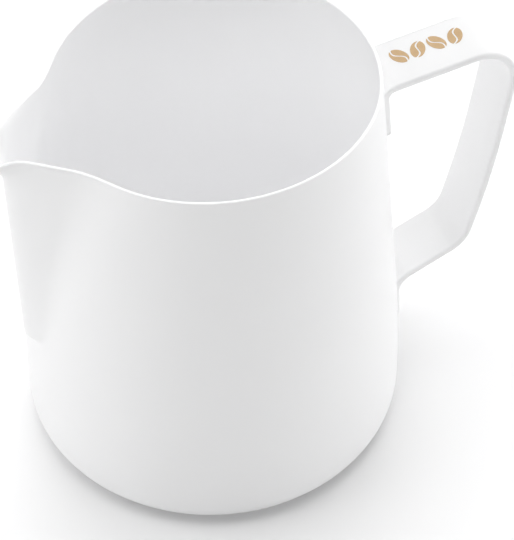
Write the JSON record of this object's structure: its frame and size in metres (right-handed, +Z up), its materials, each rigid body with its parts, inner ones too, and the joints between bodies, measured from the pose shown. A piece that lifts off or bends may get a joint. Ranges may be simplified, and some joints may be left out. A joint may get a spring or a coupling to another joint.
{
  "type": "barista milk jug",
  "caption": "White coated steel milk jug with a pressed pouring spout, a curved-in round body and a flat strap handle.",
  "frame": {"origin": "centre of the flat face that the jug stands on", "axes": "+Z up, +X from the body's axis to the handle, the spout points along -X"},
  "size_m": [0.1274, 0.095, 0.104],
  "materials": {
    "coated_steel": "satin white powder coat",
    "bronze_print": "satin bronze print"
  },
  "bodies": {
    "root": {"jug_body": "coated_steel", "strap_handle": "coated_steel"}
  },
  "joints": []
}
